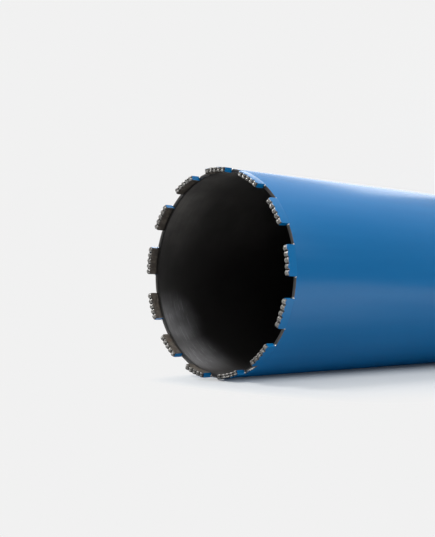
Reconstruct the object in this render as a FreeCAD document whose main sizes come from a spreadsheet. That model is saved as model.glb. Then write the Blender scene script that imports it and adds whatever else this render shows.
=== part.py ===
import FreeCAD, Part
import Sketcher
import math
import os

os.makedirs("parts", exist_ok=True)

# A diamond core bit that stands on its hub with the crown up.
# The origin is the centre of the hub's end face, and Z runs along the bit towards the crown.

doc = FreeCAD.newDocument("core_bit")

# Driving sizes in millimetres

sizes = {
    "barrel_outer_radius": 85.4,
    "barrel_wall": 2.8,
    "barrel_length": 444,
    "segment_count": 13,
    "segment_arc": 24,
    "segment_thickness": 4,
    "segment_height": 10,
    "segment_proud": 0.6,
    "nub_count": 5,
    "nub_depth": 1.1,
    "plate_thickness": 10,
    "spigot_height": 4,
    "weld_depth": 2,
    "weld_crown": 0.4,
    "hub_radius": 27,
    "hub_length": 32,
    "hub_flat_width": 47,
    "hub_flat_start": 4,
    "hub_flat_length": 18,
    "hub_spigot_radius": 22,
    "hub_weld_leg": 5,
    "thread_radius": 15.875,
    "thread_length": 34,
    "water_radius": 11,
    "fit_clearance": 0.05,
}

sheet = doc.addObject("Spreadsheet::Sheet", "Sizes")
for row, (name, value) in enumerate(sizes.items(), start=1):
    sheet.set(f"A{row}", name)
    sheet.set(f"B{row}", str(value))
    sheet.setAlias(f"B{row}", name)
doc.recompute()

# Derived sizes as formulas over the sheet

barrel_inner = "(Sizes.barrel_outer_radius - Sizes.barrel_wall)"
plate_bottom = "Sizes.hub_length"
plate_top = "(Sizes.hub_length + Sizes.plate_thickness)"
spigot_top = f"({plate_top} + Sizes.spigot_height)"
spigot_radius = f"({barrel_inner} - Sizes.fit_clearance)"
rim_height = f"({plate_top} + Sizes.barrel_length)"
segment_outer = "(Sizes.barrel_outer_radius + Sizes.segment_proud)"
segment_inner = f"({segment_outer} - Sizes.segment_thickness)"
segment_middle = f"({segment_outer} - Sizes.segment_thickness / 2)"
segment_half_angle = f"(Sizes.segment_arc / {segment_middle} * 90 / pi)"
nub_pitch = "(Sizes.segment_arc / Sizes.nub_count)"
nub_radius = f"(({nub_pitch}^2 / 4 + Sizes.nub_depth^2) / (2 * Sizes.nub_depth))"


def number(formula):
    return float(sheet.evalExpression(formula))


def new_body(label):
    body = doc.addObject("PartDesign::Body", label)
    body.Label = label
    return body


def new_sketch(body, name, role):
    plane = next(item for item in body.Origin.OriginFeatures if item.Role == role)
    sketch = body.newObject("Sketcher::SketchObject", f"{body.Name}_{name}")
    sketch.AttachmentSupport = [(plane, "")]
    sketch.MapMode = "FlatFace"
    return sketch


def bind(sketch, kind, places, formula):
    index = sketch.addConstraint(Sketcher.Constraint(kind, *places, number(formula)))
    sketch.setExpression(f"Constraints[{index}]", formula)


def pin_point(sketch, edge, end, across, along):
    bind(sketch, "DistanceX", (-1, 1, edge, end), across)
    bind(sketch, "DistanceY", (-1, 1, edge, end), along)


def outline(sketch, corners):
    spots = [FreeCAD.Vector(number(across), number(along), 0) for across, along in corners]
    first = sketch.GeometryCount
    for place, spot in enumerate(spots):
        after = spots[(place + 1) % len(spots)]
        sketch.addGeometry(Part.LineSegment(spot, after), False)
    for place, (across, along) in enumerate(corners):
        after = first + (place + 1) % len(corners)
        sketch.addConstraint(Sketcher.Constraint("Coincident", first + place, 2, after, 1))
        pin_point(sketch, first + place, 1, across, along)


def turn(body, name, corners):
    sketch = new_sketch(body, f"{name}_profile", "XZ_Plane")
    outline(sketch, corners)
    doc.recompute()
    feature = body.newObject("PartDesign::Revolution", f"{body.Name}_{name}")
    feature.Profile = sketch
    feature.ReferenceAxis = (sketch, ["V_Axis"])
    feature.Angle = 360
    doc.recompute()
    return feature


# Barrel: a thin tube with its rear edge bevelled for the weld

barrel = new_body("barrel")
turn(barrel, "tube", [
    (barrel_inner, plate_top),
    ("Sizes.barrel_outer_radius - Sizes.weld_depth", plate_top),
    ("Sizes.barrel_outer_radius", f"{plate_top} + Sizes.weld_depth"),
    ("Sizes.barrel_outer_radius", rim_height),
    (barrel_inner, rim_height),
])

# Back plate: a disc under the tube's end, with a spigot inside the tube

plate_hole = "(Sizes.hub_spigot_radius + Sizes.fit_clearance)"
back_plate = new_body("back_plate")
turn(back_plate, "disc", [
    (plate_hole, plate_bottom),
    ("Sizes.barrel_outer_radius", plate_bottom),
    ("Sizes.barrel_outer_radius", f"{plate_top} - Sizes.weld_depth"),
    ("Sizes.barrel_outer_radius - Sizes.weld_depth", plate_top),
    (spigot_radius, plate_top),
    (spigot_radius, spigot_top),
    (plate_hole, spigot_top),
])

# Hub: a turned boss with the spindle's thread hole, the water passage and two wrench flats

hub = new_body("hub")
turn(hub, "boss", [
    ("Sizes.thread_radius", "0"),
    ("Sizes.hub_radius", "0"),
    ("Sizes.hub_radius", plate_bottom),
    ("Sizes.hub_spigot_radius", plate_bottom),
    ("Sizes.hub_spigot_radius", spigot_top),
    ("Sizes.water_radius", spigot_top),
    ("Sizes.water_radius", "Sizes.thread_length"),
    ("Sizes.thread_radius", "Sizes.thread_length"),
])
flats = new_sketch(hub, "wrench_flats", "XZ_Plane")
flat_end = "Sizes.hub_flat_start + Sizes.hub_flat_length"
for side in ("1", "-1"):
    outline(flats, [
        (f"{side} * Sizes.hub_flat_width / 2", "Sizes.hub_flat_start"),
        (f"{side} * (Sizes.hub_radius + 1)", "Sizes.hub_flat_start"),
        (f"{side} * (Sizes.hub_radius + 1)", flat_end),
        (f"{side} * Sizes.hub_flat_width / 2", flat_end),
    ])
doc.recompute()
flat_cut = hub.newObject("PartDesign::Pocket", "hub_flat_cut")
flat_cut.Profile = flats
flat_cut.Type = "ThroughAll"
flat_cut.Midplane = True
doc.recompute()

# Welds: one ring in the vee between plate and tube, one fillet ring round the hub

barrel_weld = new_body("barrel_weld")
turn(barrel_weld, "bead", [
    ("Sizes.barrel_outer_radius - Sizes.weld_depth", plate_top),
    ("Sizes.barrel_outer_radius", f"{plate_top} - Sizes.weld_depth"),
    ("Sizes.barrel_outer_radius + Sizes.weld_crown", plate_top),
    ("Sizes.barrel_outer_radius", f"{plate_top} + Sizes.weld_depth"),
])
hub_weld = new_body("hub_weld")
turn(hub_weld, "fillet", [
    ("Sizes.hub_radius", plate_bottom),
    ("Sizes.hub_radius", f"{plate_bottom} - Sizes.hub_weld_leg"),
    ("Sizes.hub_radius + Sizes.hub_weld_leg", plate_bottom),
])


# Segments: an arc block whose cutting face is pressed into rounded nubs

def arc_block(body):
    sketch = new_sketch(body, "block_profile", "XY_Plane")
    half = math.radians(number(segment_half_angle))
    rings = [segment_outer, segment_inner]
    for radius in rings:
        circle = Part.Circle(FreeCAD.Vector(0, 0, 0), FreeCAD.Vector(0, 0, 1), number(radius))
        sketch.addGeometry(Part.ArcOfCircle(circle, -half, half), False)
    for end in (1, 2):
        tips = [sketch.getPoint(ring, end) for ring in (0, 1)]
        side = sketch.addGeometry(Part.LineSegment(*tips), False)
        sketch.addConstraint(Sketcher.Constraint("Coincident", side, 1, 0, end))
        sketch.addConstraint(Sketcher.Constraint("Coincident", side, 2, 1, end))
    for ring, radius in enumerate(rings):
        sketch.addConstraint(Sketcher.Constraint("Coincident", ring, 3, -1, 1))
        bind(sketch, "Radius", (ring,), radius)
        bind(sketch, "DistanceY", (-1, 1, ring, 2), f"{radius} * sin({segment_half_angle})")
        bind(sketch, "DistanceY", (-1, 1, ring, 1), f"-{radius} * sin({segment_half_angle})")
    doc.recompute()
    block = body.newObject("PartDesign::Pad", f"{body.Name}_block")
    block.Profile = sketch
    block.setExpression("Length", "Sizes.segment_height + Sizes.nub_depth")
    doc.recompute()


def press_nubs(body):
    sketch = new_sketch(body, "nub_profile", "YZ_Plane")
    count = int(sizes["nub_count"])
    centre_height = f"(Sizes.segment_height - {nub_radius})"
    valley_height = f"(Sizes.segment_height - Sizes.nub_depth)"
    radius = number(nub_radius)
    reach = number(f"0.9 * {nub_radius}")
    middle = number(centre_height)
    step = number(nub_pitch)
    valley = number(valley_height)
    for nub in range(count):
        offset = (nub - (count - 1) / 2) * step
        centre = FreeCAD.Vector(offset, middle, 0)
        right = math.atan2(valley - middle, step / 2)
        left = math.pi - right
        if nub == 0:
            left = math.pi - math.acos(reach / radius)
        if nub == count - 1:
            right = math.acos(reach / radius)
        circle = Part.Circle(centre, FreeCAD.Vector(0, 0, 1), radius)
        sketch.addGeometry(Part.ArcOfCircle(circle, right, left), False)
    for nub in range(count):
        place = f"({nub} - (Sizes.nub_count - 1) / 2) * {nub_pitch}"
        pin_point(sketch, nub, 3, place, centre_height)
        bind(sketch, "Radius", (nub,), nub_radius)
    for nub in range(count - 1):
        sketch.addConstraint(Sketcher.Constraint("Coincident", nub, 1, nub + 1, 2))
    edge = f"((Sizes.nub_count - 1) / 2 * {nub_pitch} + 0.9 * {nub_radius})"
    above = "(Sizes.segment_height + 2 * Sizes.nub_depth)"
    left_tip = sketch.getPoint(0, 2)
    right_tip = sketch.getPoint(count - 1, 1)
    roof = number(above)
    left_roof = FreeCAD.Vector(left_tip.x, roof, 0)
    right_roof = FreeCAD.Vector(right_tip.x, roof, 0)
    for start, stop in ((right_tip, right_roof), (right_roof, left_roof), (left_roof, left_tip)):
        sketch.addGeometry(Part.LineSegment(start, stop), False)
    sketch.addConstraint(Sketcher.Constraint("Coincident", count, 1, count - 1, 1))
    sketch.addConstraint(Sketcher.Constraint("Coincident", count, 2, count + 1, 1))
    sketch.addConstraint(Sketcher.Constraint("Coincident", count + 1, 2, count + 2, 1))
    sketch.addConstraint(Sketcher.Constraint("Coincident", count + 2, 2, 0, 2))
    pin_point(sketch, count, 2, edge, above)
    pin_point(sketch, count + 2, 1, f"-{edge}", above)
    bind(sketch, "DistanceX", (-1, 1, count, 1), edge)
    bind(sketch, "DistanceX", (-1, 1, count + 2, 2), f"-{edge}")
    doc.recompute()
    cut = body.newObject("PartDesign::Pocket", f"{body.Name}_nubs")
    cut.Profile = sketch
    cut.Type = "ThroughAll"
    cut.Midplane = True
    doc.recompute()


segments = []
for place in range(int(sizes["segment_count"])):
    segment = new_body(f"segment_{place + 1:02d}")
    arc_block(segment)
    press_nubs(segment)
    segment.Placement = FreeCAD.Placement(
        FreeCAD.Vector(0, 0, number(rim_height)),
        FreeCAD.Rotation(FreeCAD.Vector(0, 0, 1), 360 * place / sizes["segment_count"]),
    )
    segment.setExpression(".Placement.Base.z", rim_height)
    segments.append(segment)
doc.recompute()

# Every feature is checked, then each piece is written to its own file

for item in doc.Objects:
    if "Invalid" in item.State or "Error" in item.State:
        raise RuntimeError(f"{item.Name} failed: {item.State}")

for body in [barrel, back_plate, hub, barrel_weld, hub_weld, *segments]:
    if body.Shape.isNull() or not body.Shape.isValid():
        raise RuntimeError(f"{body.Label} has no sound shape")
    body.Shape.exportStep(f"parts/{body.Label}.step")
    print(body.Label, round(body.Shape.Volume), body.Shape.BoundBox)
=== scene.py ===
import math
import bmesh
import bpy
from mathutils import Matrix, Vector, noise


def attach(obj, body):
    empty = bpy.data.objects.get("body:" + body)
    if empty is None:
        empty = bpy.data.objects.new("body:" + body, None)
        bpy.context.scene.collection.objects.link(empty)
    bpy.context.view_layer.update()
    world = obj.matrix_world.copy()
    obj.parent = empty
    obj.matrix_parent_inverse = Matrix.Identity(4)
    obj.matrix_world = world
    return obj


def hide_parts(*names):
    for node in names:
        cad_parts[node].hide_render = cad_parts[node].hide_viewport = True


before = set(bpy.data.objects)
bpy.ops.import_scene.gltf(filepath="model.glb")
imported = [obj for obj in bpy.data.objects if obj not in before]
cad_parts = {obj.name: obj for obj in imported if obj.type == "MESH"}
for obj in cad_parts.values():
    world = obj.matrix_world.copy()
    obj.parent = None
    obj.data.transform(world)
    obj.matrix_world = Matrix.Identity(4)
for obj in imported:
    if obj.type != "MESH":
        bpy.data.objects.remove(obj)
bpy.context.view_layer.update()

mm = 0.001
sameSpot = 0.001 * mm
scene = bpy.context.scene
scene.view_settings.view_transform = "Standard"

# Sizes that several pieces share, in metres
bit = {
    "barrelOuter": 85.4 * mm,
    "barrelInner": 82.6 * mm,
    "plateBottom": 32 * mm,
    "plateTop": 42 * mm,
    "spigotTop": 46 * mm,
    "rim": 486 * mm,
    "crown": 496 * mm,
    "segmentOuter": 86 * mm,
    "segmentInner": 82 * mm,
    "segmentCount": 13,
    "segmentArc": 24 * mm,
}


def sideways(degrees):
    return Vector((math.cos(math.radians(degrees)), math.sin(math.radians(degrees)), 0))


axis = Vector((0, 0, 1))
photoUp, farSide = sideways(111.03), sideways(172)


def addNode(tree, kind, **settings):
    node = tree.nodes.new(kind)
    for name, value in settings.items():
        setattr(node, name, value)
    return node


def startMaterial(name, colour, **sockets):
    material = bpy.data.materials.new(name)
    material.use_nodes = True
    tree = material.node_tree
    shader = tree.nodes["Principled BSDF"]
    shader.inputs["Base Color"].default_value = (*colour, 1)
    for socket, value in sockets.items():
        shader.inputs[socket.replace("_", " ")].default_value = value
    place = addNode(tree, "ShaderNodeTexCoord")
    return material, tree, shader, place.outputs["Object"]


def stretched(tree, place, scale):
    mapping = addNode(tree, "ShaderNodeMapping")
    mapping.inputs["Scale"].default_value = scale
    tree.links.new(place, mapping.inputs["Vector"])
    return mapping.outputs["Vector"]


def cloud(tree, place, scale, detail, roughness=0.5):
    texture = addNode(tree, "ShaderNodeTexNoise")
    texture.inputs["Scale"].default_value = scale
    texture.inputs["Detail"].default_value = detail
    texture.inputs["Roughness"].default_value = roughness
    tree.links.new(place, texture.inputs["Vector"])
    return texture.outputs["Fac"]


def remap(tree, value, low, high, outLow=0.0, outHigh=1.0, smooth=True):
    node = addNode(tree, "ShaderNodeMapRange")
    node.interpolation_type = "SMOOTHSTEP" if smooth else "LINEAR"
    for socket, number in zip(("From Min", "From Max", "To Min", "To Max"), (low, high, outLow, outHigh)):
        node.inputs[socket].default_value = number
    tree.links.new(value, node.inputs["Value"])
    return node.outputs["Result"]


def alongWay(tree, place, way):
    along = addNode(tree, "ShaderNodeVectorMath", operation="DOT_PRODUCT")
    along.inputs[1].default_value = way
    tree.links.new(place, along.inputs[0])
    return along.outputs["Value"]


def calculate(tree, operation, first, second):
    node = addNode(tree, "ShaderNodeMath", operation=operation)
    for socket, value in zip(node.inputs, (first, second)):
        if isinstance(value, (int, float)):
            socket.default_value = value
        else:
            tree.links.new(value, socket)
    return node.outputs["Value"]


class Field:
    def __init__(self, tree, socket):
        self.tree, self.socket = tree, socket

    def apply(self, operation, other=0.0):
        second = other.socket if isinstance(other, Field) else other
        return Field(self.tree, calculate(self.tree, operation, self.socket, second))

    def __add__(self, other):
        return self.apply("ADD", other)

    def __sub__(self, other):
        return self.apply("SUBTRACT", other)

    def __mul__(self, other):
        return self.apply("MULTIPLY", other)

    def __rsub__(self, other):
        return self * -1.0 + other


def blendColour(tree, factor, first, second):
    node = addNode(tree, "ShaderNodeMix", data_type="RGBA")
    tree.links.new(factor, node.inputs["Factor"])
    for socket, value in ((node.inputs[6], first), (node.inputs[7], second)):
        if isinstance(value, tuple):
            socket.default_value = (*value, 1)
        else:
            tree.links.new(value, socket)
    return node.outputs[2]


def bump(tree, shader, height, strength, distance):
    node = addNode(tree, "ShaderNodeBump")
    node.inputs["Strength"].default_value = strength
    node.inputs["Distance"].default_value = distance
    tree.links.new(height, node.inputs["Height"])
    tree.links.new(node.outputs["Normal"], shader.inputs["Normal"])


def attribute(tree, name):
    return addNode(tree, "ShaderNodeAttribute", attribute_name=name).outputs["Fac"]


bluePaintLook = {
    "deep": (0.001, 0.128, 0.342),
    "light": (0.001, 0.138, 0.362),
    "roughness": (0.25, 0.27),
    "driftShare": 0.6,
    "streakShare": 0.4,
    "grain": 1100,
}


def makeBluePaint():
    look = bluePaintLook
    coat = {"Coat_Weight": 0.1, "Coat_Roughness": 0.2}
    material, tree, shader, place = startMaterial("bluePaint", look["deep"], **coat)
    drift = cloud(tree, stretched(tree, place, (1, 1, 0.3)), 11, 3)
    streaks = cloud(tree, stretched(tree, place, (1, 1, 0.06)), 150, 4)
    wide = calculate(tree, "MULTIPLY", drift, look["driftShare"])
    fine = calculate(tree, "MULTIPLY", streaks, look["streakShare"])
    shade = remap(tree, calculate(tree, "ADD", wide, fine), 0.35, 0.65)
    tree.links.new(blendColour(tree, shade, look["deep"], look["light"]), shader.inputs["Base Color"])
    tree.links.new(remap(tree, streaks, 0.3, 0.7, *look["roughness"]), shader.inputs["Roughness"])
    bump(tree, shader, cloud(tree, place, look["grain"], 2, 0.4), 0.05, 0.05 * mm)
    return material


# Black lining: clean is its own black, and the paler colours are painted light on it
liningLook = {
    "clean": (0.022, 0.021, 0.021),
    "paintedRimGlow": (0.235, 0.224, 0.212),
    "paintedSheen": (0.262, 0.262, 0.272),
    "paintedGlowDepth": 66 * mm,
    "paintedGlowStart": 8 * mm,
    "deepPaintedGlow": 0.35,
    "deepFrom": 100 * mm,
    "deepTo": 190 * mm,
    "lip": (1.2 * mm, 2.6 * mm),
    "lipShare": 0.1,
    "litSideSpan": (0.006, 0.05, 0.15, 0.62),
    "scratchGlints": (0.58, 0.70, -0.12, 0.95),
    "roughness": (0.36, 0.46),
    "paintedSheenSpots": ((232, 13 * mm, 33 * mm, 1.15), (258, 17 * mm, 37 * mm, 0.72)),
}


def makeBlackLining():
    look = liningLook
    material, tree, shader, place = startMaterial("blackLining", look["clean"], Specular_IOR_Level=0.5)
    streaks = cloud(tree, stretched(tree, place, (26, 26, 420)), 1.0, 5, 0.6)
    patches = cloud(tree, place, 26, 5, 0.6)
    scratchGlints = cloud(tree, stretched(tree, place, (60, 60, 900)), 1.0, 2, 0.5)
    parts = addNode(tree, "ShaderNodeSeparateXYZ")
    tree.links.new(place, parts.inputs[0])
    rim, level = bit["rim"], parts.outputs["Z"]
    # painted glow: paler near the rim and fading deeper down, most of it on the wall toward photoUp
    nearRim = remap(tree, level, rim - look["paintedGlowDepth"], rim - look["paintedGlowStart"])
    deep = remap(tree, level, rim - look["deepTo"], rim - look["deepFrom"], 0, look["deepPaintedGlow"])
    litSide = remap(tree, alongWay(tree, place, photoUp), *look["litSideSpan"])
    paintedGlowShare = calculate(tree, "MULTIPLY", litSide, calculate(tree, "MAXIMUM", nearRim, deep))
    spread = calculate(tree, "MULTIPLY", remap(tree, patches, 0.3, 0.7, 0.45, 1.0),
                       remap(tree, streaks, 0.3, 0.7, 0.82, 1.0))
    # painted sheen spots near the rim on the wall away from photoUp
    spots = 0.0
    for degrees, depth, reach, most in look["paintedSheenSpots"]:
        away = addNode(tree, "ShaderNodeVectorMath", operation="DISTANCE")
        away.inputs[1].default_value = sideways(degrees) * bit["barrelInner"] + axis * (rim - depth)
        tree.links.new(place, away.inputs[0])
        spot = remap(tree, away.outputs["Value"], 0.2 * reach, reach, most, 0.0)
        spots = calculate(tree, "MAXIMUM", spots, spot)
    # painted scratch glints inside the sheen spots
    scratchGlintShare = calculate(tree, "MULTIPLY", spots, remap(tree, scratchGlints, *look["scratchGlints"]))
    spots = calculate(tree, "ADD", spots, scratchGlintShare)
    # the painted glow and sheen fade out just under the rim edge
    lip = remap(tree, level, rim - look["lip"][1], rim - look["lip"][0], 1.0, look["lipShare"])
    spread = calculate(tree, "MULTIPLY", spread, lip)
    colour = blendColour(tree, calculate(tree, "MULTIPLY", paintedGlowShare, spread), look["clean"], look["paintedRimGlow"])
    colour = blendColour(tree, calculate(tree, "MULTIPLY", spots, spread), colour, look["paintedSheen"])
    tree.links.new(colour, shader.inputs["Base Color"])
    tree.links.new(remap(tree, streaks, 0.3, 0.7, *look["roughness"]), shader.inputs["Roughness"])
    bump(tree, shader, streaks, 0.15, 0.5 * mm)
    return material


rimSteelLook = {
    "base": (0.09, 0.08, 0.07),
    "plain": (0.095, 0.084, 0.074),
    "stained": (0.07, 0.042, 0.028),
    "roughness": (0.35, 0.6),
}


def makeRimSteel():
    look = rimSteelLook
    material, tree, shader, place = startMaterial("rimSteel", look["base"], Metallic=0.3)
    marks = cloud(tree, place, 500, 4)
    stain = cloud(tree, place, 60, 4)
    colour = blendColour(tree, remap(tree, stain, 0.5, 0.75), look["plain"], look["stained"])
    tree.links.new(colour, shader.inputs["Base Color"])
    tree.links.new(remap(tree, marks, 0.3, 0.7, *look["roughness"]), shader.inputs["Roughness"])
    bump(tree, shader, marks, 0.3, 0.2 * mm)
    return material


sinteredLook = {
    "base": (0.25, 0.23, 0.21),
    "crownDark": (0.085, 0.08, 0.076),
    "crownLight": (0.46, 0.45, 0.43),
    # the groove colour is painted shade between the nubs
    "grooveShade": (0.022, 0.020, 0.018),
    "innerDark": (0.085, 0.074, 0.064),
    "innerLight": (0.150, 0.130, 0.110),
    "rust": (0.20, 0.085, 0.03),
    # the foot colour is a painted shadow at the base of the inner face
    "foot": (0.016, 0.015, 0.015),
    "footShadeFade": (1.2 * mm, 3.8 * mm),
    "paintRoughness": 0.25,
    "paintRagged": 0.9,
}


def makeSegmentFinish(blue):
    look = sinteredLook
    material, tree, shader, place = startMaterial("sinteredSegment", look["base"])
    grain = cloud(tree, place, 1500, 3, 0.6)
    blotch = cloud(tree, place, 260, 4, 0.6)
    rust = cloud(tree, place, 95, 5, 0.6)
    crownMetal = blendColour(tree, remap(tree, grain, 0.38, 0.6), look["crownDark"], look["crownLight"])
    # painted shade darkens the grooves between the nubs
    crownMetal = blendColour(tree, attribute(tree, "grooveShade"), crownMetal, look["grooveShade"])
    innerMetal = blendColour(tree, remap(tree, blotch, 0.4, 0.65), look["innerDark"], look["innerLight"])
    innerMetal = blendColour(tree, remap(tree, rust, 0.6, 0.78), innerMetal, look["rust"])
    parts = addNode(tree, "ShaderNodeSeparateXYZ")
    tree.links.new(place, parts.inputs[0])
    # painted shadow at the foot of the inner face, darkest at the rim and fading upwards with a ragged edge
    foot = calculate(tree, "ADD", parts.outputs["Z"], calculate(tree, "MULTIPLY", blotch, 1.5 * mm))
    start, end = (bit["rim"] + height for height in look["footShadeFade"])
    innerMetal = blendColour(tree, remap(tree, foot, start, end), look["foot"], innerMetal)
    bare = blendColour(tree, attribute(tree, "inner"), crownMetal, innerMetal)
    edge = calculate(tree, "MULTIPLY", calculate(tree, "SUBTRACT", blotch, 0.5), look["paintRagged"])
    paint = remap(tree, calculate(tree, "ADD", attribute(tree, "paint"), edge), 0.42, 0.58)
    tree.links.new(blendColour(tree, paint, bare, blue), shader.inputs["Base Color"])
    covered = calculate(tree, "MAXIMUM", paint, attribute(tree, "inner"))
    tree.links.new(remap(tree, covered, 0, 1, 0.85, 0.0, False), shader.inputs["Metallic"])
    unpainted = calculate(tree, "SUBTRACT", 1.0, paint)
    coarse = calculate(tree, "MULTIPLY", remap(tree, grain, 0.3, 0.7, 0.02, 0.18), unpainted)
    tree.links.new(calculate(tree, "ADD", coarse, look["paintRoughness"]), shader.inputs["Roughness"])
    relief = calculate(tree, "MULTIPLY", grain, remap(tree, paint, 0, 1, 1.0, 0.0, False))
    bump(tree, shader, relief, 0.35, 0.25 * mm)
    return material


turnedSteelLook = {
    "colour": (0.55, 0.55, 0.56),
    "roughness": (0.25, 0.42),
    "marks": (40, 40, 2600),
    "relief": 0.15,
}
beadSteelLook = {
    "colour": (0.82, 0.82, 0.80),
    "roughness": (0.16, 0.32),
    "marks": (900, 900, 900),
    "relief": 0.2,
}


def makeSteel(name, look):
    material, tree, shader, place = startMaterial(name, look["colour"], Metallic=1.0)
    marks = cloud(tree, stretched(tree, place, look["marks"]), 1.0, 4, 0.6)
    darker = tuple(part * 0.72 for part in look["colour"])
    shade = blendColour(tree, remap(tree, marks, 0.35, 0.7), look["colour"], darker)
    tree.links.new(shade, shader.inputs["Base Color"])
    tree.links.new(remap(tree, marks, 0.3, 0.7, *look["roughness"]), shader.inputs["Roughness"])
    bump(tree, shader, marks, look["relief"], 0.2 * mm)
    return material


crystalLook = {"base": (0.55, 0.54, 0.45), "dark": (0.32, 0.31, 0.24), "light": (0.72, 0.72, 0.66)}


def makeGritFinish():
    look = crystalLook
    material, tree, shader, place = startMaterial("diamondGrit", look["base"], Roughness=0.12, IOR=2.0)
    tint = cloud(tree, place, 700, 2)
    tree.links.new(blendColour(tree, tint, look["dark"], look["light"]), shader.inputs["Base Color"])
    return material


bluePaint = makeBluePaint()
blackLining = makeBlackLining()
rimSteel = makeRimSteel()
segmentFinish = makeSegmentFinish(bluePaintLook["light"])
turnedSteel = makeSteel("turnedSteel", turnedSteelLook)
beadSteel = makeSteel("beadSteel", beadSteelLook)
diamondGrit = makeGritFinish()
print("finishes made")


def finishMesh(name, vertices, faces, materials, faceMaterials=None, smoothAngle=35):
    mesh = bpy.data.meshes.new(name)
    mesh.from_pydata(vertices, [], faces)
    for material in materials:
        mesh.materials.append(material)
    if faceMaterials:
        mesh.polygons.foreach_set("material_index", faceMaterials)
    shell = bmesh.new()
    shell.from_mesh(mesh)
    bmesh.ops.recalc_face_normals(shell, faces=shell.faces)
    shell.to_mesh(mesh)
    shell.free()
    mesh.shade_smooth()
    mesh.set_sharp_from_angle(angle=math.radians(smoothAngle))
    mesh.update()
    piece = bpy.data.objects.new(name, mesh)
    scene.collection.objects.link(piece)
    return piece


def settle(piece, slot, *nodes):
    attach(piece, "root")
    if nodes:
        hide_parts(*nodes)


def turnedShell(profile, steps, shift=None):
    vertices, faces = [], []
    for step in range(steps):
        angle = 2 * math.pi * step / steps
        for corner, (radius, height) in enumerate(profile):
            out, up = shift(angle, corner, radius, height) if shift else (radius, height)
            vertices.append((out * math.cos(angle), out * math.sin(angle), up))
    count = len(profile)
    for step in range(steps):
        after = (step + 1) % steps
        for corner in range(count):
            following = (corner + 1) % count
            faces.append((step * count + corner, step * count + following,
                          after * count + following, after * count + corner))
    return vertices, faces


def faceSlots(steps, slots):
    return [slot for step in range(steps) for slot in slots]


# Barrel: blue outside, black inside, bare steel on the rim
barrelLook = {"steps": 288, "edge": 0.22 * mm, "weldVee": 2 * mm}


def makeBarrel():
    outer, inner, rim, edge = bit["barrelOuter"], bit["barrelInner"], bit["rim"], barrelLook["edge"]
    foot, vee, wall = bit["plateTop"], barrelLook["weldVee"], outer - inner
    profile = [
        (outer, foot + vee), (outer, rim - edge), (outer - 0.3 * edge, rim - 0.3 * edge),
        (outer - edge, rim), (inner + 0.6 * wall, rim), (inner + edge, rim),
        (inner + 0.3 * edge, rim - 0.3 * edge), (inner, rim - edge), (inner, foot), (outer - vee, foot),
    ]
    vertices, faces = turnedShell(profile, barrelLook["steps"])
    slots = faceSlots(barrelLook["steps"], [0, 0, 2, 2, 1, 1, 1, 1, 2, 2])
    piece = finishMesh("barrelTube", vertices, faces, [bluePaint, blackLining, rimSteel], slots)
    settle(piece, "blue_paint", "barrel")


makeBarrel()
print("barrel made")


# Node trees for what repeats or follows a rule
def startGrowth(name, inputs):
    tree = bpy.data.node_groups.new(name, "GeometryNodeTree")
    for label, kind, value in inputs:
        socket = tree.interface.new_socket(name=label, in_out="INPUT", socket_type=f"NodeSocket{kind}")
        if value is not None:
            socket.default_value = value
    tree.interface.new_socket(name="Shape", in_out="OUTPUT", socket_type="NodeSocketGeometry")
    sockets = addNode(tree, "NodeGroupInput").outputs
    given = {label: Field(tree, sockets[label]) for label, kind, value in inputs}
    return tree, given


def chain(tree, start, *steps):
    shape = start
    for kind, settings, values in steps:
        node = addNode(tree, kind, **settings)
        for label, value in values.items():
            if isinstance(value, Field):
                tree.links.new(value.socket, node.inputs[label])
            elif isinstance(value, bpy.types.NodeSocket):
                tree.links.new(value, node.inputs[label])
            else:
                node.inputs[label].default_value = value
        if shape is not None:
            target = next(socket for socket in node.inputs if socket.type == "GEOMETRY")
            tree.links.new(shape, target)
        shape = next(socket for socket in node.outputs if socket.type == "GEOMETRY")
    return shape


def joinShapes(tree, *shapes):
    together = addNode(tree, "GeometryNodeJoinGeometry")
    for shape in shapes:
        tree.links.new(shape, together.inputs[0])
    return together.outputs[0]


def endGrowth(tree, shape, *finishes, swell=None):
    steps = [("GeometryNodeRealizeInstances", {}, {})]
    if swell is not None:
        steps.append(("GeometryNodeSetPosition", {}, {"Offset": swell}))
    steps += [("GeometryNodeSetMaterial", {}, finish) for finish in finishes]
    result = addNode(tree, "NodeGroupOutput")
    tree.links.new(chain(tree, shape, *steps), result.inputs["Shape"])
    return tree


def vector(tree, *parts):
    node = addNode(tree, "ShaderNodeCombineXYZ")
    for part, socket in zip(parts, node.inputs):
        if isinstance(part, Field):
            tree.links.new(part.socket, socket)
        else:
            socket.default_value = part
    return node.outputs[0]


def spotParts(tree):
    node = addNode(tree, "ShaderNodeSeparateXYZ")
    tree.links.new(addNode(tree, "GeometryNodeInputPosition").outputs[0], node.inputs[0])
    return [Field(tree, socket) for socket in node.outputs]


def around(tree, radius, angle, height):
    return vector(tree, radius * angle.apply("COSINE"), radius * angle.apply("SINE"), height)


def unevenness(tree, spot, scale, detail):
    return (Field(tree, cloud(tree, spot, scale, detail)) - 0.5) * 2.0


def swellBy(tree, amount, scale, detail):
    place = addNode(tree, "GeometryNodeInputPosition").outputs[0]
    outward = addNode(tree, "ShaderNodeVectorMath", operation="SCALE")
    tree.links.new(addNode(tree, "GeometryNodeInputNormal").outputs[0], outward.inputs[0])
    tree.links.new((unevenness(tree, place, scale, detail) * amount).socket, outward.inputs["Scale"])
    return outward.outputs[0]


def pointIndex(tree):
    return Field(tree, addNode(tree, "GeometryNodeInputIndex").outputs[0])


def ringStep(tree, count):
    return Field(tree, calculate(tree, "DIVIDE", 2 * math.pi, count.socket))


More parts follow.
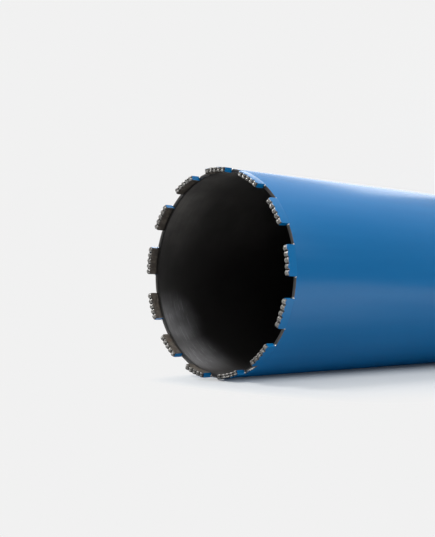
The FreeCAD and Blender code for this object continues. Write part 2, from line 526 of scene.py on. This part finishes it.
def grow(name, tree, values, source=None):
    source = source or bpy.data.meshes.new("seed")
    holder = bpy.data.objects.new(name, source)
    scene.collection.objects.link(holder)
    modifier = holder.modifiers.new(name, "NODES")
    modifier.node_group = tree
    for item in tree.interface.items_tree:
        if item.in_out == "INPUT" and item.socket_type != "NodeSocketGeometry":
            modifier[item.identifier] = values[item.name] if item.name in values else item.default_value
    shown = holder.evaluated_get(bpy.context.evaluated_depsgraph_get())
    mesh = bpy.data.meshes.new_from_object(shown)
    mesh.name = name
    if mesh.materials[0] is None:  # a shape made by nodes starts with an empty slot
        mesh.materials.pop(index=0)
    bpy.data.objects.remove(holder)
    bpy.data.meshes.remove(source)
    return mesh


def addGrown(name, mesh, smoothAngle, slot, *nodes):
    mesh.shade_smooth()
    mesh.set_sharp_from_angle(angle=math.radians(smoothAngle))
    piece = bpy.data.objects.new(name, mesh)
    scene.collection.objects.link(piece)
    settle(piece, slot, *nodes)


# Segments: pressed nubs in two rows, painted on the outer and end faces, bare on the inner face
segmentLook = {
    "nubs": 5,
    "rows": 2,
    "stepsAlong": 60,
    "stepsAcross": 16,
    "levels": 7,
    "nubDrop": 1.9 * mm,
    "rowDrop": 0.9 * mm,
    "uneven": 0.12 * mm,
    "rough": 0.05 * mm,
    "below": 0.08 * mm,
    "dome": 0.8,
    "fullness": 0.97,
    "taper": 0.03,
    "tipTaper": 0.02,
    "footTaper": 0.06,
    "endTaper": 0.35,
    "tipPaint": 0.45,
    "paintedFrom": 0.93,
    "endBare": 0.35,
    "grooveFrom": (0.28, 0.4),
    "grooveSlope": 3.0,
    "grain": (24.0, 4.0, 7.3),
    "grainScale": 1.6,
    "halfAngle": bit["segmentArc"] / ((bit["segmentOuter"] + bit["segmentInner"]) / 2) / 2,
}


def makeSegmentTree():
    look = segmentLook
    inputs = (
        ("Turn", "Float", 0.0), ("Seed", "Float", 1.0), ("Half Angle", "Float", look["halfAngle"]),
        ("Inner Radius", "Float", bit["segmentInner"]), ("Outer Radius", "Float", bit["segmentOuter"]),
        ("Foot Height", "Float", bit["rim"]), ("Tip Height", "Float", bit["crown"]),
        ("Nubs", "Float", look["nubs"]), ("Rows", "Float", look["rows"]),
        ("Nub Drop", "Float", look["nubDrop"]), ("Row Drop", "Float", look["rowDrop"]),
        ("Uneven", "Float", look["uneven"]), ("Rough", "Float", look["rough"]), ("Finish", "Material", None),
    )
    tree, given = startGrowth("crownSegment", inputs)
    x, y, z = spotParts(tree)
    along, across, level = 0.5 - x, y + 0.5, z + 0.5
    nub = ((along * given["Nubs"]).apply("FRACT") * 2.0 - 1.0).apply("ABSOLUTE")
    row = ((across * given["Rows"]).apply("FRACT") * 2.0 - 1.0).apply("ABSOLUTE") * look["fullness"]
    nubDome = nub * nub * look["dome"]
    rowDome = 1.0 - (1.0 - row * row).apply("SQRT")
    spots = (part * scale for part, scale in zip((along, across, given["Seed"]), look["grain"]))
    grain = unevenness(tree, vector(tree, *spots), look["grainScale"], 1.0)
    own = addNode(tree, "ShaderNodeTexWhiteNoise")
    nubNumber = (along * given["Nubs"] * 0.999).apply("FLOOR")
    rowNumber = (across * 1.999).apply("FLOOR")
    tree.links.new(vector(tree, nubNumber, rowNumber, given["Seed"]), own.inputs["Vector"])
    drop = nubDome * given["Nub Drop"] + rowDome * given["Row Drop"]
    drop = drop + Field(tree, own.outputs["Value"]) * given["Uneven"]
    tip = given["Tip Height"] - look["below"] - drop - given["Rough"] * (grain + 0.6)
    height = given["Foot Height"] + (tip - given["Foot Height"]) * level
    top, foot = level.apply("GREATER_THAN", 0.99), level.apply("LESS_THAN", 0.01)  # outermost rows only
    pull = top * look["tipTaper"] + foot * look["footTaper"] + look["taper"]
    angle = given["Turn"] + (along * 2.0 - 1.0) * given["Half Angle"] * (1.0 - pull * look["endTaper"])
    width = given["Outer Radius"] - given["Inner Radius"]
    radius = given["Inner Radius"] + width * ((across - 0.5) * (1.0 - pull) + 0.5)

    ends = along.apply("LESS_THAN", 0.001) + along.apply("GREATER_THAN", 0.999)
    inside = across.apply("LESS_THAN", 0.01)
    outside = across.apply("GREATER_THAN", look["paintedFrom"])
    tipPaint = ends.apply("MAXIMUM", outside) * look["tipPaint"]
    sidePaint = 1.0 - inside * (1.0 - ends * look["endBare"])
    paint = sidePaint + (tipPaint - sidePaint) * top
    # mask for the painted shade in the grooves between nubs and rows, on the tip only
    nubFrom, rowFrom = look["grooveFrom"]
    grooveShade = (nubDome - nubFrom).apply("MAXIMUM", 0.0) * look["grooveSlope"]
    grooveShade = (grooveShade + (rowDome - rowFrom).apply("MAXIMUM", 0.0)).apply("MINIMUM", 1.0) * top
    marks = (("paint", paint), ("inner", inside * (1.0 - top * 0.5)), ("grooveShade", grooveShade))
    block = {"Size": (1, 1, 1), "Vertices X": look["stepsAlong"] + 1,
             "Vertices Y": look["stepsAcross"] + 1, "Vertices Z": look["levels"] + 1}
    steps = [("GeometryNodeMeshCube", {}, block)]
    for label, value in marks:
        stored = {"Name": label, "Value": value}
        steps.append(("GeometryNodeStoreNamedAttribute", {"data_type": "FLOAT"}, stored))
    steps.append(("GeometryNodeSetPosition", {}, {"Position": around(tree, radius, angle, height)}))
    return endGrowth(tree, chain(tree, None, *steps), {"Material": given["Finish"]})


def makeSegment(tree, number):
    values = {"Turn": 2 * math.pi * number / bit["segmentCount"], "Seed": number + 1.0,
              "Finish": segmentFinish}
    name = f"segmentBlock{number + 1:02d}"
    mesh = grow(name, tree, values)
    bed = []
    for face in mesh.polygons:
        if face.normal.z > 0.2 and face.center.z > bit["crown"] - 5 * mm:
            bed.append([mesh.vertices[corner].co.copy() for corner in face.vertices])
    addGrown(name, mesh, 50, "segment_metal", f"segment_{number + 1:02d}")
    return bed


segmentTree = makeSegmentTree()
crownBed = []
for number in range(bit["segmentCount"]):
    crownBed += makeSegment(segmentTree, number)
print("segments made")

# Diamond grit: small crystals half sunk in the cutting faces
gritLook = {
    "density": 260000.0,
    "seed": 7,
    "size": 0.16 * mm,
    "smallest": 0.5,
    "sink": 0.05 * mm,
}


def makeGritTree():
    look = gritLook
    inputs = (
        ("Crown", "Geometry", None), ("Density", "Float", look["density"]), ("Seed", "Int", look["seed"]),
        ("Grain Size", "Float", look["size"]), ("Smallest Share", "Float", look["smallest"]),
        ("Finish", "Material", None),
    )
    tree, given = startGrowth("gritOnCrown", inputs)
    grain = {"Radius": given["Grain Size"], "Subdivisions": 1}
    crystal = chain(tree, None, ("GeometryNodeMeshIcoSphere", {}, grain))
    turn = addNode(tree, "FunctionNodeRandomValue", data_type="FLOAT_VECTOR")
    turn.inputs[1].default_value = (6.28, 6.28, 6.28)
    share = addNode(tree, "FunctionNodeRandomValue", data_type="FLOAT")
    share.inputs[3].default_value = 1.0
    for source, target in ((given["Seed"], turn.inputs["Seed"]), (given["Seed"], share.inputs["Seed"]),
                           (given["Smallest Share"], share.inputs[2])):
        tree.links.new(source.socket, target)
    spread = {"Density": given["Density"], "Seed": given["Seed"]}
    placed = {"Instance": crystal, "Rotation": turn.outputs[0], "Scale": share.outputs[1]}
    grains = chain(tree, given["Crown"].socket, ("GeometryNodeDistributePointsOnFaces", {}, spread),
                   ("GeometryNodeInstanceOnPoints", {}, placed))
    return endGrowth(tree, grains, {"Material": given["Finish"]})


def makeGrit():
    corners, faces = [], []
    for quad in crownBed:
        faces.append(tuple(range(len(corners), len(corners) + len(quad))))
        corners += [(x, y, z - gritLook["sink"]) for x, y, z in quad]
    bed = bpy.data.meshes.new("gritBed")
    bed.from_pydata(corners, [], faces)
    mesh = grow("diamondGrit", makeGritTree(), {"Seed": gritLook["seed"], "Finish": diamondGrit}, bed)
    print("grit triangles", sum(len(face.vertices) - 2 for face in mesh.polygons))
    addGrown("diamondGrit", mesh, 1, "segment_metal")


makeGrit()

# Weld at the foot of each segment: a fine seam on both sides and a bright bead at each corner
seamLook = {
    "size": 0.38 * mm,
    "steps": 48,
    "sides": 6,
    "proud": 0.05 * mm,
    "lower": 0.12 * mm,
    "wobble": 0.22,
    "grain": 1000.0,
    "taper": 14.0,
}


def makeSeamTree():
    look = seamLook
    inputs = (
        ("Count", "Int", bit["segmentCount"]),
        ("Outer Radius", "Float", bit["barrelOuter"] + look["proud"]),
        ("Inner Radius", "Float", bit["barrelInner"] - look["proud"]),
        ("Height", "Float", bit["rim"] - look["lower"]), ("Size", "Float", look["size"]),
        ("Half Angle", "Float", segmentLook["halfAngle"]), ("Wobble", "Float", look["wobble"]),
        ("Outer Finish", "Material", None), ("Inner Finish", "Material", None),
    )
    tree, given = startGrowth("footSeam", inputs)
    x, y = spotParts(tree)[:2]
    share, turn = x + 0.5, y * (2 * math.pi)
    ends = share.apply("MINIMUM", 1.0 - share) * look["taper"]
    size = given["Size"] * ends.apply("MINIMUM", 1.0)
    angle = (share * 2.0 - 1.0) * given["Half Angle"]
    height = given["Height"] + size * turn.apply("SINE")
    grid = {"Size X": 1, "Size Y": 1, "Vertices X": look["steps"] + 1, "Vertices Y": look["sides"] + 1}
    seams = []
    for side in ("Outer Radius", "Inner Radius"):
        spot = around(tree, given[side] + size * turn.apply("COSINE"), angle, height)
        seams.append(chain(tree, None, ("GeometryNodeMeshGrid", {}, grid),
                           ("GeometryNodeSetPosition", {}, {"Position": spot}),
                           ("GeometryNodeMergeByDistance", {}, {"Distance": sameSpot})))
    step = ringStep(tree, given["Count"])
    turned = vector(tree, 0.0, 0.0, pointIndex(tree) * step)
    placed = {"Instance": joinShapes(tree, *seams), "Rotation": turned}
    ring = chain(tree, None, ("GeometryNodeMeshLine", {}, {"Count": given["Count"], "Offset": (0, 0, 0)}),
                 ("GeometryNodeInstanceOnPoints", {}, placed))
    between = (given["Outer Radius"] + given["Inner Radius"]) * 0.5
    inside = (x * x + y * y).apply("SQRT").apply("LESS_THAN", between)
    return endGrowth(tree, ring, {"Material": given["Outer Finish"]},
                     {"Material": given["Inner Finish"], "Selection": inside},
                     swell=swellBy(tree, given["Size"] * given["Wobble"], look["grain"], 1.0))


beadLook = {
    "size": 0.80 * mm,
    "radius": 84.95 * mm,
    "lift": 0.2 * mm,
    "gap": 0.0035,
    "shape": (1.1, 0.85, 1.0),
    "spread": 0.07,
    "wobble": 0.09 * mm,
    "grain": 1400.0,
    "seed": 4,
}
# The light streak of weld metal at one place of the rim
spillLook = {
    "turn": math.radians(317.5),
    "radius": 84.6 * mm,
    "size": 1 * mm,
    "shape": (0.75, 5.2, 0.45),
}


def makeBeadTree():
    look = beadLook
    inputs = (
        ("Count", "Int", bit["segmentCount"]), ("Radius", "Float", look["radius"]),
        ("Height", "Float", bit["rim"] + look["lift"]), ("Size", "Float", look["size"]),
        ("Corner Angle", "Float", segmentLook["halfAngle"] + look["gap"]),
        ("Wobble", "Float", look["wobble"]), ("Seed", "Int", look["seed"]),
        ("Spill Size", "Float", spillLook["size"]), ("Spill Turn", "Float", spillLook["turn"]),
        ("Spill Radius", "Float", spillLook["radius"]), ("Finish", "Material", None),
    )
    tree, given = startGrowth("cornerBead", inputs)
    number = pointIndex(tree)
    side = number.apply("MODULO", 2.0)
    step = ringStep(tree, given["Count"])
    angle = (number - side) * 0.5 * step + (side * 2.0 - 1.0) * given["Corner Angle"]
    drawn = addNode(tree, "FunctionNodeRandomValue", data_type="FLOAT")
    drawn.inputs[2].default_value = 1 - look["spread"]
    drawn.inputs[3].default_value = 1 + look["spread"]
    tree.links.new(given["Seed"].socket, drawn.inputs["Seed"])
    share = Field(tree, drawn.outputs[1])
    shape = vector(tree, *(share * part for part in look["shape"]))
    sphere = {"Radius": given["Size"], "Subdivisions": 3}
    ball = chain(tree, None, ("GeometryNodeMeshIcoSphere", {}, sphere))
    spot = around(tree, given["Radius"], angle, given["Height"])
    placed = {"Instance": ball, "Scale": shape, "Rotation": vector(tree, 0.0, 0.0, angle)}
    line = {"Count": given["Count"] * 2.0, "Offset": (0, 0, 0)}
    beads = chain(tree, None, ("GeometryNodeMeshLine", {}, line),
                  ("GeometryNodeSetPosition", {}, {"Position": spot}),
                  ("GeometryNodeInstanceOnPoints", {}, placed))
    middle = around(tree, given["Spill Radius"], given["Spill Turn"], bit["rim"])
    drop = {"Radius": given["Spill Size"], "Subdivisions": 4}
    laid = {"Scale": spillLook["shape"], "Translation": middle,
            "Rotation": vector(tree, 0.0, 0.0, given["Spill Turn"])}
    spill = chain(tree, None, ("GeometryNodeMeshIcoSphere", {}, drop), ("GeometryNodeTransform", {}, laid))
    return endGrowth(tree, joinShapes(tree, beads, spill), {"Material": given["Finish"]},
                     swell=swellBy(tree, given["Wobble"], look["grain"], 0.0))


def makeFootWelds():
    seams = grow("segmentSeams", makeSeamTree(), {"Outer Finish": bluePaint, "Inner Finish": rimSteel})
    addGrown("segmentSeams", seams, 80, "blue_paint")
    beads = grow("cornerBeads", makeBeadTree(), {"Finish": beadSteel})
    addGrown("cornerBeads", beads, 80, "segment_metal")


makeFootWelds()
print("seams and beads made")

# Rear end: plate, hub, thread and the two welds
plateLook = {"steps": 256, "edge": 0.8 * mm, "spigotEdge": 0.4 * mm, "fit": 0.05 * mm}
hubLook = {
    "steps": 256,
    "radius": 27 * mm,
    "bevel": 1.2 * mm,
    "flatHalf": 23.5 * mm,
    "flatStart": 4 * mm,
    "flatEnd": 22 * mm,
    "spigot": 22 * mm,
    "threadRadius": 15.875 * mm,
    "threadEnd": 34 * mm,
    "mouth": 1.5 * mm,
    "water": 11 * mm,
    "waterEdge": 0.6 * mm,
    "flatLip": 0.3 * mm,
}


def makePlate():
    look, low, high, top = plateLook, bit["plateBottom"], bit["plateTop"], bit["spigotTop"]
    outer, edge, vee = bit["barrelOuter"], look["edge"], barrelLook["weldVee"]
    spigot, hole = bit["barrelInner"] - look["fit"], hubLook["spigot"] + look["fit"]
    profile = [
        (hole, low), (outer - edge, low), (outer - 0.3 * edge, low + 0.3 * edge), (outer, low + edge),
        (outer, high - vee), (outer - vee, high), (spigot, high), (spigot, top - look["spigotEdge"]),
        (spigot - look["spigotEdge"], top), (hole, top),
    ]
    vertices, faces = turnedShell(profile, look["steps"])
    slots = faceSlots(look["steps"], [0, 0, 0, 0, 0, 1, 1, 1, 1, 1])
    piece = finishMesh("backDisc", vertices, faces, [bluePaint, blackLining], slots)
    settle(piece, "blue_paint", "back_plate")


def makeHub():
    look = hubLook
    radius, bevel, lip = look["radius"], look["bevel"], look["flatLip"]
    thread, water, edge = look["threadRadius"], look["water"], look["waterEdge"]
    low, high = bit["plateBottom"], bit["spigotTop"]
    profile = [
        (thread + look["mouth"], 0), (radius - bevel, 0), (radius, bevel), (radius, look["flatStart"]),
        (radius, look["flatStart"] + lip), (radius, look["flatEnd"] - lip), (radius, look["flatEnd"]),
        (radius, low), (look["spigot"], low), (look["spigot"], high),
        (water + edge, high), (water, high - edge), (water, look["threadEnd"]),
        (thread, look["threadEnd"]), (thread, look["mouth"]),
    ]

    def cutFlats(angle, corner, radius, height):
        if corner in (4, 5):
            radius = min(radius, look["flatHalf"] / max(abs(math.cos(angle)), 0.01))
        return radius, height

    vertices, faces = turnedShell(profile, look["steps"], cutFlats)
    slots = faceSlots(look["steps"], [0, 0, 0, 0, 0, 0, 1, 0, 0, 0, 0, 0, 0, 0, 0])
    piece = finishMesh("hubBoss", vertices, faces, [turnedSteel, bluePaint], slots, smoothAngle=25)
    settle(piece, "hub_steel", "hub")


threadLook = {
    "pitch": 3.6286 * mm,
    "crest": 13.95 * mm,
    "root": 15.95 * mm,
    "runOut": 0.33,
    "foot": 0.47,
    "tip": 0.075,
    "opening": 8.0,
    "stepsPerTurn": 64,
}


def makeThreadTree(turns):
    look = threadLook
    inputs = (
        ("Pitch", "Float", look["pitch"]), ("Turns", "Float", turns), ("Start", "Float", 0.0),
        ("Crest Radius", "Float", look["crest"]), ("Root Radius", "Float", look["root"]),
        ("Run Out", "Float", look["runOut"]), ("Finish", "Material", None),
    )
    tree, given = startGrowth("spindleThread", inputs)
    x, y = spotParts(tree)[:2]
    share = 0.5 - x
    corner = ((y + 0.5) * 4.0).apply("ROUND").apply("MODULO", 4.0) - 1.5
    onCrest = 1.5 - corner.apply("ABSOLUTE")
    fade = share.apply("MINIMUM", 1.0 - share) * given["Turns"]
    fade = fade.apply("DIVIDE", given["Run Out"]).apply("MINIMUM", 1.0)
    radius = given["Root Radius"] + (given["Crest Radius"] - given["Root Radius"]) * fade * onCrest
    flank = corner.apply("SIGN") * given["Pitch"] * (look["foot"] - onCrest * (look["foot"] - look["tip"]))
    middle = given["Start"] + given["Pitch"] * (given["Turns"] * share + 0.5)
    height = middle + flank * (fade * look["opening"]).apply("MINIMUM", 1.0)
    spot = around(tree, radius, share * given["Turns"] * (2 * math.pi), height)
    steps = int(turns * look["stepsPerTurn"])
    grid = {"Size X": 1, "Size Y": 1, "Vertices X": steps + 1, "Vertices Y": 5}
    ridge = chain(tree, None, ("GeometryNodeMeshGrid", {}, grid),
                  ("GeometryNodeSetPosition", {}, {"Position": spot}),
                  ("GeometryNodeMergeByDistance", {}, {"Distance": sameSpot}))
    return endGrowth(tree, ridge, {"Material": given["Finish"]})


def makeThread():
    start, end = hubLook["mouth"] * 0.6, hubLook["threadEnd"] - 0.6 * mm
    turns = (end - start - threadLook["pitch"]) / threadLook["pitch"]
    mesh = grow("hubThread", makeThreadTree(turns), {"Start": start, "Finish": turnedSteel})
    addGrown("hubThread", mesh, 30, "hub_steel")


weldLook = {
    "steps": 640,
    "barrelRipples": 150,
    "barrelRippleDepth": 0.16 * mm,
    "crown": 0.36 * mm,
    "shoulder": 0.16 * mm,
    "sunk": 0.05 * mm,
    "hubRipples": 62,
    "hubRippleDepth": 0.35 * mm,
    "hubLeg": 5 * mm,
}


def rippled(ripples, deep, outward):
    def shift(angle, corner, radius, height):
        if corner not in outward:
            return radius, height
        across, up, lag = outward[corner]
        wave = abs(math.sin((angle * ripples + lag) / 2 + 0.25 * math.sin(angle * 7)))
        sway = noise.noise(Vector((math.cos(angle) * 9, math.sin(angle) * 9, corner)))
        rise = deep * (wave - 1 + 0.4 * sway)
        return radius + across * rise, height + up * rise
    return shift


def makeBarrelBead():
    look, outer, seam, vee = weldLook, bit["barrelOuter"], bit["plateTop"], barrelLook["weldVee"]
    sunk, shoulder, side = outer - look["sunk"], outer + look["shoulder"], 0.65 * vee
    profile = [
        (outer - vee, seam), (sunk, seam - vee), (shoulder, seam - side),
        (outer + look["crown"], seam), (shoulder, seam + side), (sunk, seam + vee),
    ]
    outward = {2: (1, 0, 0), 3: (1, 0, 2.0), 4: (1, 0, 0)}
    shift = rippled(look["barrelRipples"], look["barrelRippleDepth"], outward)
    vertices, faces = turnedShell(profile, look["steps"], shift)
    piece = finishMesh("barrelBead", vertices, faces, [bluePaint], smoothAngle=70)
    settle(piece, "blue_paint", "barrel_weld")


def makeHubBead():
    look, radius, low, leg = weldLook, hubLook["radius"], bit["plateBottom"], weldLook["hubLeg"]
    profile = [
        (radius - 0.1 * mm, low), (radius - 0.1 * mm, low - leg), (radius + 0.5 * mm, low - 0.85 * leg),
        (radius + 0.24 * leg, low - 0.62 * leg), (radius + 0.42 * leg, low - 0.42 * leg),
        (radius + 0.62 * leg, low - 0.24 * leg), (radius + 0.85 * leg, low - 0.5 * mm), (radius + leg, low),
    ]
    outward = {corner: (0.7, -0.7, lag) for corner, lag in zip(range(2, 7), (0, 1.3, 1.9, 1.3, 0))}
    shift = rippled(look["hubRipples"], look["hubRippleDepth"], outward)
    vertices, faces = turnedShell(profile, look["steps"], shift)
    piece = finishMesh("hubBead", vertices, faces, [bluePaint], smoothAngle=70)
    settle(piece, "blue_paint", "hub_weld")


makePlate()
makeHub()
makeThread()
makeBarrelBead()
makeHubBead()
print("rear end made")

# Studio: floor, backdrop board, world, soft lamps and the photograph's camera
paleLevel = 0.88
stageGap = 0.05 * mm


def startStageMaterial(name):
    material = bpy.data.materials.new(name)
    material.use_nodes = True
    tree = material.node_tree
    tree.nodes.clear()
    place = addNode(tree, "ShaderNodeTexCoord").outputs["Object"]
    return material, tree, place, addNode(tree, "ShaderNodeLightPath")


def mixShaders(tree, share, first, second):
    mix = addNode(tree, "ShaderNodeMixShader")
    for source, socket in ((share, mix.inputs["Fac"]), (first, mix.inputs[1]), (second, mix.inputs[2])):
        tree.links.new(source, socket)
    return mix.outputs["Shader"]


# Clear from behind, so that a sheet hides nothing in the other views
def showFrontOnly(tree, front):
    clear = addNode(tree, "ShaderNodeBsdfTransparent")
    behind = addNode(tree, "ShaderNodeNewGeometry").outputs["Backfacing"]
    output = addNode(tree, "ShaderNodeOutputMaterial")
    tree.links.new(mixShaders(tree, behind, front, clear.outputs["BSDF"]), output.inputs["Surface"])


def straightRays(tree, path):
    return calculate(tree, "MAXIMUM", path.outputs["Is Camera Ray"], path.outputs["Is Transmission Ray"])


def flatSheet(name, corners, material):
    mesh = bpy.data.meshes.new(name)
    mesh.from_pydata(corners, [], [(0, 1, 2, 3)])
    mesh.materials.append(material)
    sheet = bpy.data.objects.new(name, mesh)
    scene.collection.objects.link(sheet)


floorLook = {
    "size": 14.0,
    "shade": 0.86,
    "openRise": (0.15, 0.45, 0.85, 1.0),
    "mirrorSpan": (-0.4, 0.5),
    "mirror": (0.06, 1.0),
}


def makePaleFloor():
    look = floorLook
    material, tree, place, path = startStageMaterial("paleFloor")
    matte = addNode(tree, "ShaderNodeBsdfDiffuse")
    matte.inputs["Color"].default_value = (look["shade"], look["shade"], look["shade"], 1)
    length = addNode(tree, "ShaderNodeVectorMath", operation="LENGTH")
    tree.links.new(stretched(tree, place, (1, 1, 0)), length.inputs[0])
    openShare = remap(tree, length.outputs["Value"], *look["openRise"])
    level = remap(tree, alongWay(tree, place, farSide), *look["mirrorSpan"], *look["mirror"])
    straight, glossyRay = straightRays(tree, path), path.outputs["Is Glossy Ray"]
    seen = calculate(tree, "MULTIPLY", straight, paleLevel)
    mirrored = calculate(tree, "MULTIPLY", glossyRay, level)
    glow = addNode(tree, "ShaderNodeEmission")
    tree.links.new(calculate(tree, "ADD", seen, mirrored), glow.inputs["Strength"])
    share = calculate(tree, "ADD", calculate(tree, "MULTIPLY", openShare, straight), glossyRay)
    showFrontOnly(tree, mixShaders(tree, share, matte.outputs["BSDF"], glow.outputs["Emission"]))
    return material


# The board stands in for the table, and is darker and less open near the line where the bit touches it
boardLook = {
    "halfWidth": 0.8,
    "foot": 0.001,
    "top": 1.3,
    "shade": 0.62,
    "tint": (0.74, 0.87, 1.0),
    "openNear": (-0.005, 0.06),
    "openFar": (0.04, 0.22),
    "under": (0.15, 0.8),
    "reflectedShade": 0.97,
    "sheen": 0.25,
    "behindPull": 4.0,
    "beyondPull": 3.0,
    "widening": (0.25, 0.60, 0.65, 1.35),
}


def fromContact(tree, place):
    look, across, up = boardLook, alongWay(tree, place, axis.cross(photoUp)), alongWay(tree, place, axis)
    behind = calculate(tree, "MULTIPLY", calculate(tree, "MAXIMUM", across, 0.0), look["behindPull"])
    before = calculate(tree, "MAXIMUM", calculate(tree, "MULTIPLY", across, -1.0), 0.0)
    past = calculate(tree, "MAXIMUM", calculate(tree, "SUBTRACT", up, bit["crown"]), 0.0)
    beside = calculate(tree, "POWER", calculate(tree, "ADD", behind, before), 2.0)
    beyond = calculate(tree, "POWER", calculate(tree, "MULTIPLY", past, look["beyondPull"]), 2.0)
    distance = calculate(tree, "SQRT", calculate(tree, "ADD", beside, beyond), 0.0)
    return calculate(tree, "MULTIPLY", distance, remap(tree, up, *look["widening"], False))


def makePaleBoard():
    look = boardLook
    material, tree, place, path = startStageMaterial("paleBoard")
    distance = fromContact(tree, place)
    openShare = calculate(tree, "ADD", remap(tree, distance, *look["openNear"], 0.0, 0.5),
                          remap(tree, distance, *look["openFar"], 0.0, 0.5))
    closed = calculate(tree, "SUBTRACT", 1.0, openShare)
    # for glossy rays the board turns near black close to the contact: painted shade in what the bit reflects
    wide = calculate(tree, "SUBTRACT", 1.0, calculate(tree, "MULTIPLY", openShare, openShare))
    dimmed = calculate(tree, "MULTIPLY", wide, look["reflectedShade"])
    dimmed = calculate(tree, "MULTIPLY", dimmed, path.outputs["Is Glossy Ray"])
    level = calculate(tree, "SUBTRACT", 1.0, dimmed)
    matte = addNode(tree, "ShaderNodeBsdfDiffuse")
    tree.links.new(calculate(tree, "MULTIPLY", level, look["shade"]), matte.inputs["Color"])
    glow = addNode(tree, "ShaderNodeEmission")
    # near the contact the glow is tinted blue: a painted reflection of the bit
    tree.links.new(blendColour(tree, openShare, look["tint"], (1.0, 1.0, 1.0)), glow.inputs["Color"])
    glow.inputs["Strength"].default_value = paleLevel
    # for diffuse rays the board glows as painted bounce light on the bit, dimmer near the contact as painted
    # shade
    lit = remap(tree, openShare, 0, 1, *look["under"], False)
    share = calculate(tree, "ADD", calculate(tree, "MULTIPLY", straightRays(tree, path), openShare),
                      calculate(tree, "MULTIPLY", path.outputs["Is Diffuse Ray"], lit))
    polish = addNode(tree, "ShaderNodeBsdfPrincipled")
    for socket, value in (("Base Color", (0, 0, 0, 1)), ("Roughness", 0.15), ("IOR", 1.2)):
        polish.inputs[socket].default_value = value
    plain = mixShaders(tree, share, matte.outputs["BSDF"], glow.outputs["Emission"])
    sheen = calculate(tree, "MULTIPLY", closed, look["sheen"])
    showFrontOnly(tree, mixShaders(tree, sheen, plain, polish.outputs["BSDF"]))
    return material


def makeStage():
    half, low = floorLook["size"] / 2, -stageGap
    corners = [(-half, -half, low), (half, -half, low), (half, half, low), (-half, half, low)]
    flatSheet("studioFloor", corners, makePaleFloor())
    side = axis.cross(photoUp) * boardLook["halfWidth"]
    behind = photoUp * -(bit["segmentOuter"] + stageGap)
    foot, top = behind + axis * boardLook["foot"], behind + axis * boardLook["top"]
    flatSheet("studioBoard", [foot - side, foot + side, top + side, top - side], makePaleBoard())


worldLook = {"way": sideways(150), "span": (-0.5, 0.8), "lit": (0.18, 0.80)}


def makeWorld():
    world = bpy.data.worlds.new("studioWorld")
    scene.world = world
    world.use_nodes = True
    look, tree = worldLook, world.node_tree
    tree.nodes.clear()
    output = addNode(tree, "ShaderNodeOutputWorld")
    sky = addNode(tree, "ShaderNodeBackground")
    pale = addNode(tree, "ShaderNodeBackground")
    pale.inputs["Color"].default_value = (1, 1, 1, 1)
    pale.inputs["Strength"].default_value = paleLevel
    toward = alongWay(tree, addNode(tree, "ShaderNodeTexCoord").outputs["Generated"], look["way"])
    lit = remap(tree, toward, *look["span"], *look["lit"])
    mirrored = remap(tree, toward, *look["span"], look["lit"][0], paleLevel)
    path = addNode(tree, "ShaderNodeLightPath")
    more = calculate(tree, "SUBTRACT", mirrored, lit)
    glossy = calculate(tree, "MULTIPLY", path.outputs["Is Glossy Ray"], more)
    tree.links.new(calculate(tree, "ADD", lit, glossy), sky.inputs["Strength"])
    seen = straightRays(tree, path)
    shown = mixShaders(tree, seen, sky.outputs["Background"], pale.outputs["Background"])
    tree.links.new(shown, output.inputs["Surface"])


lowSide = sideways(200.2)
lowPlace = lowSide * 0.42 + photoUp * 0.24 + axis * 0.02
softboxes = {
    "fillSoftbox": {
        "place": sideways(62) + axis * 0.46,
        "target": axis * 0.44,
        "size": (0.9, 0.5),
        "power": 5.5,
        "lengthwise": axis,
    },
    "keySoftbox": {
        "place": sideways(123) * 0.9 + axis * 0.74,
        "target": axis * 0.47,
        "size": (0.3, 0.25),
        "power": 7.4,
        "lengthwise": axis,
    },
    "edgeSoftbox": {
        "place": lowPlace,
        "target": lowPlace + axis,
        "size": (0.4, 0.7),
        "power": 1.15,
        "lengthwise": lowSide,
    },
}


def framed(place, right, up, back):
    return Matrix.Translation(place) @ Matrix((right, up, back)).transposed().to_4x4()


def makeLamp(name, look):
    lamp = bpy.data.lights.new(name, "AREA")
    lamp.shape = "RECTANGLE"
    lamp.energy = look["power"]
    lamp.size, lamp.size_y = look["size"]
    holder = bpy.data.objects.new(name, lamp)
    back = (look["place"] - look["target"]).normalized()
    up = (look["lengthwise"] - back * look["lengthwise"].dot(back)).normalized()
    holder.matrix_world = framed(look["place"], up.cross(back), up, back)
    holder.visible_camera = False
    scene.collection.objects.link(holder)


# The camera fitted to the photograph: its place is in barrel radii from the crown's centre
photoCamera = {
    "lens": 63.30,
    "sensor": 36,
    "turn": math.radians(-2.125),
    "place": (6.19974, 2.54685, 5.92913),
    "right": (0.60721387, 0.27847865, -0.74413773),
    "up": (-0.39308398, 0.91920883, 0.02324030),
}


def makeCamera():
    look = photoCamera
    camera = bpy.data.cameras.new("photoCamera")
    camera.lens = look["lens"]
    camera.sensor_width = look["sensor"]
    holder = bpy.data.objects.new("photoCamera", camera)
    turn = Matrix.Rotation(look["turn"], 3, "Z")
    place = turn @ Vector(look["place"]) * bit["barrelOuter"] + axis * bit["crown"]
    right, up = turn @ Vector(look["right"]), turn @ Vector(look["up"])
    holder.matrix_world = framed(place, right, up, right.cross(up))
    scene.collection.objects.link(holder)
    scene.camera = holder


makeStage()
makeWorld()
for name, look in softboxes.items():
    makeLamp(name, look)
makeCamera()
print("studio made")
